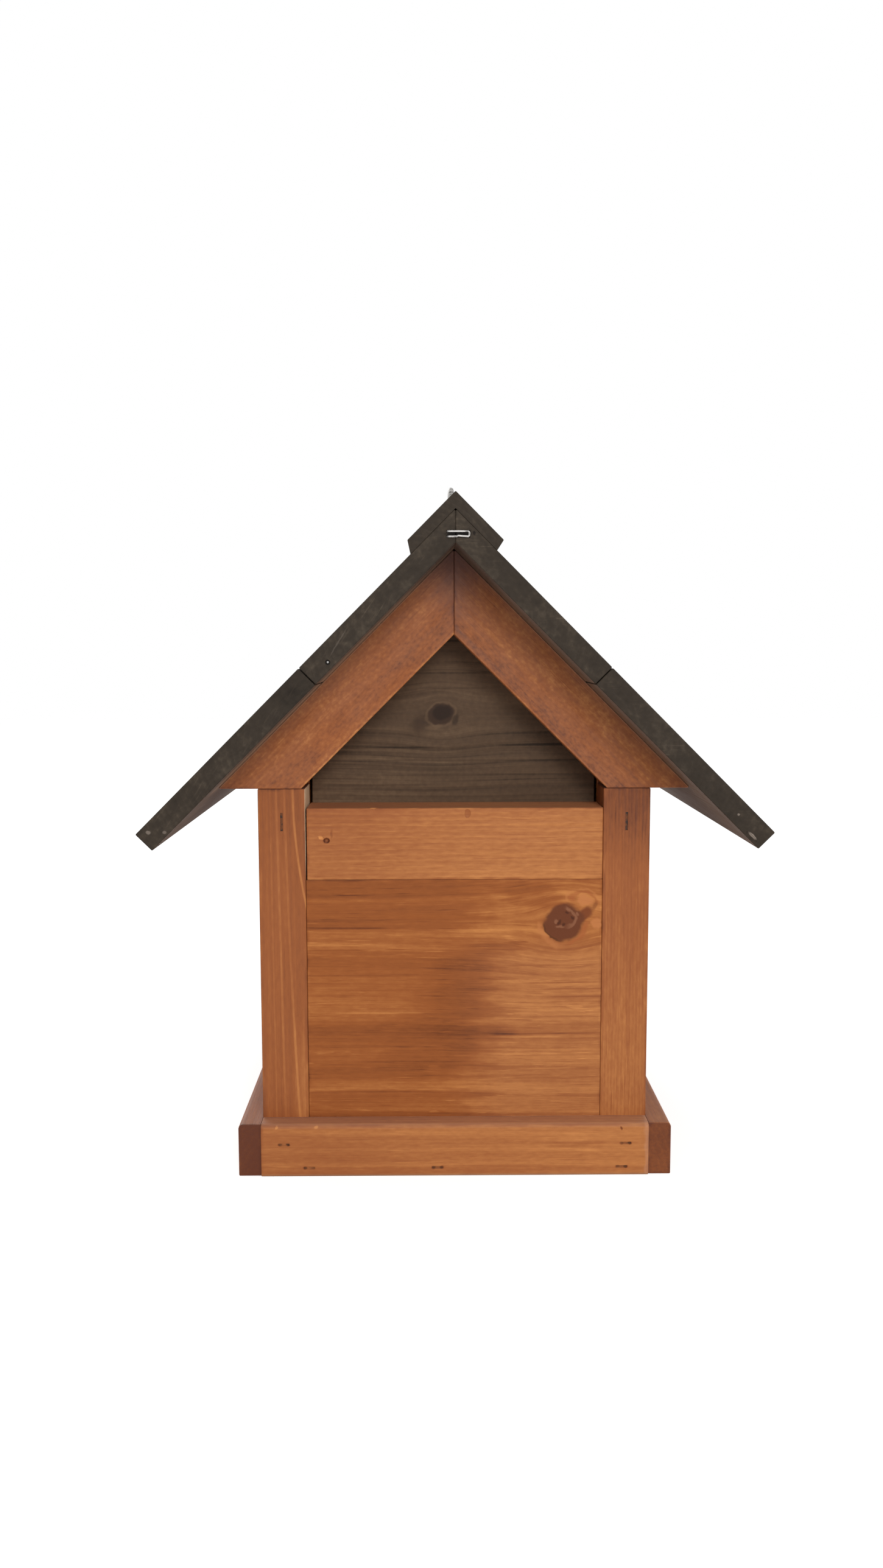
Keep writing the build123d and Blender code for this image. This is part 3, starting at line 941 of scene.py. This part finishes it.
# Roof planks: two wide boards to a slope, mitred at the ridge, dark stained on every face and stapled down
# to the rafters. The stain laps round the front end and lies thin on the underside, and painted bounce light
# makes the underside lighter still.
charcoal_stops = ((28, 23, 18), (56, 48, 40), (108, 95, 80))
plank_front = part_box("left_upper_plank")[0].y
plank_joint = 132.6 * mm
# Thin stain on the underside, lightened by painted bounce light.
underside_thin_and_lit_brown = (116, 93, 76)
# Stain lapping round the front end, with painted shade on the left and painted light on the right.
left_lap_shade_brown = (104, 91, 81)
right_lap_light_brown = (118, 103, 92)
# Bare wood with a painted highlight, beside the left rafter.
bare_and_lit_brown = (150, 126, 105)
# Painted shade at the ridge.
ridge_shade_brown = (64, 52, 46)
# Painted shadow black, under the ridge clip and in the brad's hole.
shadow_black = (18, 14, 12)
bare_grey = (150, 136, 124)
brad_place = (-60.5, 264.5)
eave_flake = (142.2, 180.4)
# Spots in the front ends of the planks, seen from the front: middle, reach, tilt, colour and strength
end_spots = (
    # The first two spots and the one at the brad are painted shadow.
    ((1.2, 324.1), (6.4, 1.7), 0.0, shadow_black, 1.0),
    ((8.7, 324.4), (0.7, 1.2), 0.0, shadow_black, 0.8),
    ((-55.4, 273.9), (8.2, 0.4), 59, bare_grey, 0.14),
    (brad_place, (1.4, 1.4), 0.0, shadow_black, 1.0),
    ((-147.4, 183.4), (1.3, 0.9), 0.0, bare_grey, 0.5),
    ((-139.6, 183.4), (1.2, 0.9), 0.0, bare_grey, 0.4),
    ((142.8, 180.9), (2.8, 0.7), -45, bare_grey, 0.9),
    ((135.8, 191.3), (0.7, 0.7), 0.0, bare_grey, 0.6),
)
mitre_reach = 10


def saw_marks(log, seed, tilt):
    """Pale scores left across a plank's end by the saw, at a tilt to the board."""
    turn = (math.radians(tilt), 0.0, 0.0)
    turned = log.node("ShaderNodeMapping", inputs={"Vector": log, "Rotation": turn})
    return ramp(noise(turned, seed, (20, 60, 1000)), 0.1, 0.26)


def front_view(field):
    """Place as it is seen from the front: X to the right, Y up."""
    x, y, z = parts(field.node("ShaderNodeTexCoord", output="Object"))
    return field.node("ShaderNodeCombineXYZ", inputs={"X": x, "Y": z, "Z": y})


def plank_marks(side):
    """Marks of the planks of one slope: scored and blotched ends, darker near the joint. Low at the
    ridge the left end is darker and the right one paler."""
    ridge_change = 0.08 if side > 0 else -0.13
    score_tilt = 45 if side > 0 else 12

    def marks(log, tone):
        along, over, deep = parts(log)
        near_end = ramp_mm(along - plank_front, 2, 0.8)
        scores = saw_marks(log, 70 + side, score_tilt)
        patch = abs(over - side * (plank_joint - 9 * mm))
        blotch = noise(log, 71 + side, (30, 140, 260), 4)
        lower_half = ramp_mm(deep - plank_line, 9, 3)
        near_ridge = lower_half * ramp_mm(plank_line - abs(over), 40, 8)
        ends = 0.12 * scores + 0.4 * blotch - 0.1 * ramp_mm(patch, 14, 3) + ridge_change * near_ridge
        return tone + near_end * ends

    return marks


def plank_paint(side):
    """Colours of the planks of one slope: the underside browner than the top, from thin stain and painted
    bounce light; the stain lapping round the front end, with painted shade on the left and painted light on
    the right; painted shade at the ridge; on the left, bare wood with a painted highlight beside the rafter;
    painted shadow black under the ridge clip and in the brad's hole; and a few bare spots in the ends."""
    lap_side_light_brown = left_lap_shade_brown if side < 0 else right_lap_light_brown

    def paint(log, colour):
        along, over, deep = parts(log)
        behind_end = along - plank_front
        under = ramp(facing(log, (side, 0, 1)), -0.85, -0.97)
        near_end = ramp_mm(behind_end, 1.2, 0.5)
        patchy = 5 * mm * noise(log, 66, (90, 60, 90))
        lap = ramp_mm(behind_end + patchy, 18, 12)
        beyond_lap = ramp_mm(behind_end + patchy, 14, 20)
        beside_rafter = beyond_lap * ramp_mm(abs(over), 50, 62)
        near_ridge = ramp_mm(plank_line - abs(over), 42, 18)
        # Painted bounce light with thin stain, painted shade on the left lap and painted light on the right,
        # a painted highlight beside the left rafter, and painted shade at the ridge.
        colour = mixed(colour, underside_thin_and_lit_brown, 0.85 * under)
        colour = mixed(colour, lap_side_light_brown, 0.8 * under * lap)
        if side < 0:
            colour = mixed(colour, bare_and_lit_brown, 0.9 * under * beside_rafter)
        colour = mixed(colour, ridge_shade_brown, 0.5 * under * near_ridge)
        seen = loosened(front_view(log), 67, 400, 1.0)
        for middle, reach, tilt, finish, strength in end_spots:
            if side * middle[0] > -mitre_reach:
                spot = ramp(oval(seen, middle, reach, tilt), 1.15, 0.6)
                colour = mixed(colour, finish, strength * near_end * spot)
        return colour

    return paint


for side_name, side in (("left", -1), ("right", 1)):
    for row, row_seed, pith in (("upper", 33, (0.2, 0.2)), ("lower", 36, (0.118, 0.206))):
        charcoal_board(
            f"{side_name}_{row}_plank", lengthwise, (side, 0, 1), row_seed + side, (side * pith[0], pith[1]),
            charcoal_stops, lift=0.03, ring=0.08, marks=plank_marks(side), paint=plank_paint(side),
        )
worn_copy("right_lower_plank", "roof", [(eave_flake, (3.6, 0.7, 1.0), 45)])

# Ridge cap: one length of dark stained corner moulding that lies over the mitre, so that no rain
# gets in there. It is held to the upper planks by headed pins.
charcoal_board("ridge_cap", lengthwise, upright, 40, (0.02, 0.3), charcoal_stops, lift=-0.04)

# Ridge clips: a doubled length of zinc wire across the mitre at each gable, bent round at one end,
# with its other end driven into the plank. The lower wire is a little kinked.
zinc_dark = (88, 86, 84)
zinc_bright = (184, 181, 177)


def zinc_wire(name):
    """Bright zinc-plated wire with faint drawing marks."""
    material, place, log = begin(name, level, upright)
    spots = noise(log, 1, (300, 900, 900), 3)
    colour = mixed(zinc_dark, zinc_bright, ramp(spots, -0.2, 0.05))
    dress(material, colour, 0.46 + 0.3 * spots, spots, 0.02 * mm)
    material.node_tree.nodes["Principled BSDF"].inputs["Metallic"].default_value = 0.7
    return material


def start_wire(name, point, heading, radius):
    """Begins a round wire with a disc at a point, square to the way the wire will run."""
    bpy.ops.object.select_all(action="DESELECT")
    across = Vector(heading).to_track_quat("Z", "Y").to_euler()
    bpy.ops.mesh.primitive_circle_add(
        vertices=16, radius=radius, fill_type="NGON", location=point, rotation=across
    )
    wire = bpy.context.object
    wire.name = name
    bpy.ops.object.transform_apply()
    bpy.ops.object.mode_set(mode="EDIT")
    bpy.ops.mesh.select_all(action="SELECT")
    return wire


def draw(step):
    """Draws the wire straight on."""
    bpy.ops.mesh.extrude_region_move(TRANSFORM_OT_translate={"value": step})


def bend_wire(centre, axis, degrees):
    """Bends the wire on round a centre, right-handed about the axis. Spin counts the other way."""
    steps = max(2, round(abs(degrees) / 12))
    bpy.ops.mesh.spin(steps=steps, angle=-math.radians(degrees), center=centre, axis=axis)


def close_mesh():
    """Joins what was made face to face, and turns all the faces outwards."""
    bpy.ops.mesh.select_all(action="SELECT")
    bpy.ops.mesh.remove_doubles(threshold=0.01 * mm)
    bpy.ops.mesh.normals_make_consistent()
    bpy.ops.object.mode_set(mode="OBJECT")


def fit_wire(wire, node):
    """Smooths a wire, and lets it stand for its piece of the roof."""
    take(wire)
    bpy.ops.object.transform_apply()
    bpy.ops.object.mode_set(mode="EDIT")
    close_mesh()
    bpy.ops.object.shade_smooth_by_angle(angle=math.radians(35))
    wire.data.materials.append(bright_wire)
    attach(wire, "roof")
    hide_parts(node)


bright_wire = zinc_wire("bright_zinc_wire")
clip_low, clip_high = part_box("ridge_clips")
clip_radius = 0.5 * mm
clip_bend = 0.9 * mm
clip_turn = 0.8 * mm
clip_leg = 6 * mm
clip_left = clip_low.x + clip_radius
clip_right = clip_high.x - clip_radius
clip_upper = clip_high.z - clip_radius
clip_lower = clip_low.z + clip_radius
clip_middle = (clip_left + clip_right) / 2
clip_face = clip_low.y + clip_radius
clip_inner = clip_face + clip_bend
kink_rise = 0.35 * mm
kink_run = 0.9 * mm
clip_start = (clip_left, clip_inner + clip_leg, clip_upper)
front_clip = start_wire("front_ridge_clip", clip_start, to_front, clip_radius)
draw((0, -clip_leg, 0))
bend_wire((clip_left + clip_bend, clip_inner, clip_upper), upright, 90)
draw((clip_right - clip_turn - clip_left - clip_bend, 0, 0))
bend_wire((clip_right - clip_turn, clip_face, clip_upper - clip_turn), lengthwise, 90)
draw((0, 0, clip_lower - clip_upper + 2 * clip_turn))
bend_wire((clip_right - clip_turn, clip_face, clip_lower + clip_turn), lengthwise, 90)
draw((clip_middle - clip_right + clip_turn, 0, kink_rise))
draw((-kink_run, 0, -kink_rise))
draw((clip_left + clip_bend - clip_middle + kink_run, 0, 0))
bend_wire((clip_left + clip_bend, clip_inner, clip_lower), upright, -90)
draw((0, clip_leg, 0))
close_mesh()
rear_clip = copy_of(front_clip, "rear_ridge_clip")
rear_clip.scale.y = -1
for clip in (front_clip, rear_clip):
    fit_wire(clip, "ridge_clips")

# Staples of the roof: those in the planks and gable boards, darkened by the roof's own stain, and one
# stray brad in a plank's end, still bright at the bottom of its hole.
blackened_thin = (92, 84, 76)
blackened_thick = (34, 29, 25)


def brad_wire(name):
    """Small bright head, dark towards its rim with the painted shade of its hole."""
    material, place, log = begin(name, level, to_front)
    rim = ramp(oval(log, brad_place, (0.5, 0.5)), 0.6, 1.2)
    # Painted shade of the hole towards the rim.
    dress(material, mixed(zinc_bright, shadow_black, rim), 0.5 + 0.3 * rim, rim, 0.05 * mm)
    return material


blackened_wire = staple_wire("blackened_staple_wire", blackened_thin, blackened_thick)
for group in ("plank_staples", "gable_staples"):
    cover(group, blackened_wire)
cover("plank_brad", brad_wire("bright_brad_wire"))

# Cap pins: small wire nails with domed heads, four through each leg of the ridge cap.
# One is modelled standing upright at the origin, then copied and leant to its slope.
pin_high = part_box("cap_pins")[1]
pin_head = 1.5 * mm
pin_rise = 0.8 * mm
pin_shank = 0.8 * mm
pin_length = 13 * mm
pin_rows = 4
dome = ((0.3, 1.0), (0.25, 0.86), (0.17, 0.62), (0.08, 0.3))


def swell(share):
    """Widens or narrows the end of a wire that runs upright."""
    bpy.ops.transform.resize(value=(share, share, 1.0))


pin_model = start_wire("cap_pin_0", (0, 0, -pin_length), upright, pin_shank)
draw((0, 0, pin_length))
draw((0, 0, 0))
swell(pin_head / pin_shank)
for rise, share in dome:
    draw((0, 0, rise * mm))
    swell(share)
close_mesh()
pins = [pin_model]
while len(pins) < 2 * pin_rows:
    pins.append(copy_of(pin_model, f"cap_pin_{len(pins)}"))
lean = math.sqrt(0.5) * (pin_head + pin_rise)
for number, pin in enumerate(pins):
    side = 1 if number < pin_rows else -1
    row = 2 * (number % pin_rows) / (pin_rows - 1) - 1
    pin.location = (side * (pin_high.x - lean), row * (pin_high.y - pin_head), pin_high.z - lean)
    pin.rotation_euler = (0, side * math.radians(45), 0)
    fit_wire(pin, "cap_pins")

# Lifting eye: a screw eye of zinc wire, its ring bent round almost to the neck, on a pointed shank
# screwed down through the cap and the mitre into the ridge beam.
eye_low, eye_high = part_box("hanging_eye")
eye_radius = (eye_high.x - eye_low.x) / 2
ring_radius = (eye_high.y - eye_low.y) / 2 - eye_radius
ring_height = eye_high.z - eye_radius - ring_radius
neck_bend = 2.2 * mm
neck_height = ring_height - math.sqrt(ring_radius**2 + 2 * ring_radius * neck_bend)
neck_turn = math.degrees(math.acos(neck_bend / (neck_bend + ring_radius)))
ring_gap = 26
ring_turn = 270 + neck_turn - ring_gap
point_share = 0.12
point_length = 2 * eye_radius
eye = start_wire("lifting_eye", (0, 0, eye_low.z), upright, eye_radius * point_share)
draw((0, 0, point_length))
swell(1 / point_share)
draw((0, 0, neck_height - eye_low.z - point_length))
bend_wire((0, neck_bend, neck_height), level, -neck_turn)
bend_wire((0, 0, ring_height), level, ring_turn)
close_mesh()
fit_wire(eye, "hanging_eye")

# Stage: a pale floor that keeps the shadow of the house, a white room and one large soft lamp
# in front of the house, above it and a little to the right, with a weaker one behind.
floor_reach = 8
floor_drop = 0.1 * mm
floor_glow = 0.6
floor_grey = (0.8, 0.8, 0.8, 1.0)
white = (1.0, 1.0, 1.0, 1.0)
room_light = 0.5
house_middle = (cad_low + cad_high) / 2


def seen_directly(field):
    """1 for what the camera sees, straight or through a mirror or glass, and 0 for plain light."""
    path = field.node("ShaderNodeLightPath").socket.node
    camera, mirror, glass = (
        Field(field.tree, path.outputs[name])
        for name in ("Is Camera Ray", "Is Glossy Ray", "Is Transmission Ray")
    )
    return camera.math("MAXIMUM", mirror.math("MAXIMUM", glass))


def soft_lamp(name, direction, distance, size, power):
    """Square lamp that faces the middle of the house."""
    towards = Vector(direction).normalized()
    bpy.ops.object.light_add(type="AREA", location=house_middle + towards * distance)
    lamp = bpy.context.object
    lamp.name = name
    lamp.data.size = size
    lamp.data.energy = power
    lamp.rotation_euler = towards.to_track_quat("Z", "Y").to_euler()


bpy.ops.object.select_all(action="DESELECT")
bpy.ops.mesh.primitive_plane_add(size=floor_reach, location=(0, 0, -floor_drop))
ground = bpy.context.object
ground.name = "ground"
ground_finish = bpy.data.materials.new("ground_white")
ground_finish.use_nodes = True
ground_tree = ground_finish.node_tree
ground_shader = ground_tree.nodes["Principled BSDF"]
for socket_name, value in (
    ("Base Color", floor_grey), ("Roughness", 0.9), ("Specular IOR Level", 0.0), ("Emission Color", white),
):
    ground_shader.inputs[socket_name].default_value = value
glow = floor_glow * seen_directly(Field(ground_tree))
ground_tree.links.new(glow.socket, ground_shader.inputs["Emission Strength"])
ground.data.materials.append(ground_finish)

room = bpy.data.worlds.new("white_room")
bpy.context.scene.world = room
room.use_nodes = True
room_tree = room.node_tree
room_shade = room_tree.nodes["Background"]
room_shade.inputs["Color"].default_value = white
strength = room_light + (1.0 - room_light) * seen_directly(Field(room_tree))
room_tree.links.new(strength.socket, room_shade.inputs["Strength"])

soft_lamp("front_lamp", (0.16, -1.0, 0.42), 2, 0.8, 18)
soft_lamp("rear_lamp", (-0.5, 1.0, 0.6), 2.2, 1.2, 13)

# Camera: about three quarters up the house, a little to the left of its middle, looking slightly down.
# Its place, turns and lens are those that were fitted to the photograph.
photo_height = 2576
focal_pixels = 2078
sensor = 36
near_limit = 0.01
camera_place = Vector((-12.28, -738.96, 272.05)) * mm
camera_yaw = math.radians(-0.518)
camera_pitch = math.radians(90 - 6.231)
camera_roll = math.radians(-0.109)
bpy.ops.object.camera_add()
camera = bpy.context.object
camera.name = "photo_camera"
camera.data.sensor_width = sensor
camera.data.lens = focal_pixels * sensor / photo_height
camera.data.clip_start = near_limit
camera.matrix_world = (
    Matrix.Translation(camera_place)
    @ Matrix.Rotation(camera_yaw, 4, "Z")
    @ Matrix.Rotation(camera_pitch, 4, "X")
    @ Matrix.Rotation(camera_roll, 4, "Z")
)
bpy.context.scene.camera = camera
bpy.context.scene.view_settings.view_transform = "Standard"
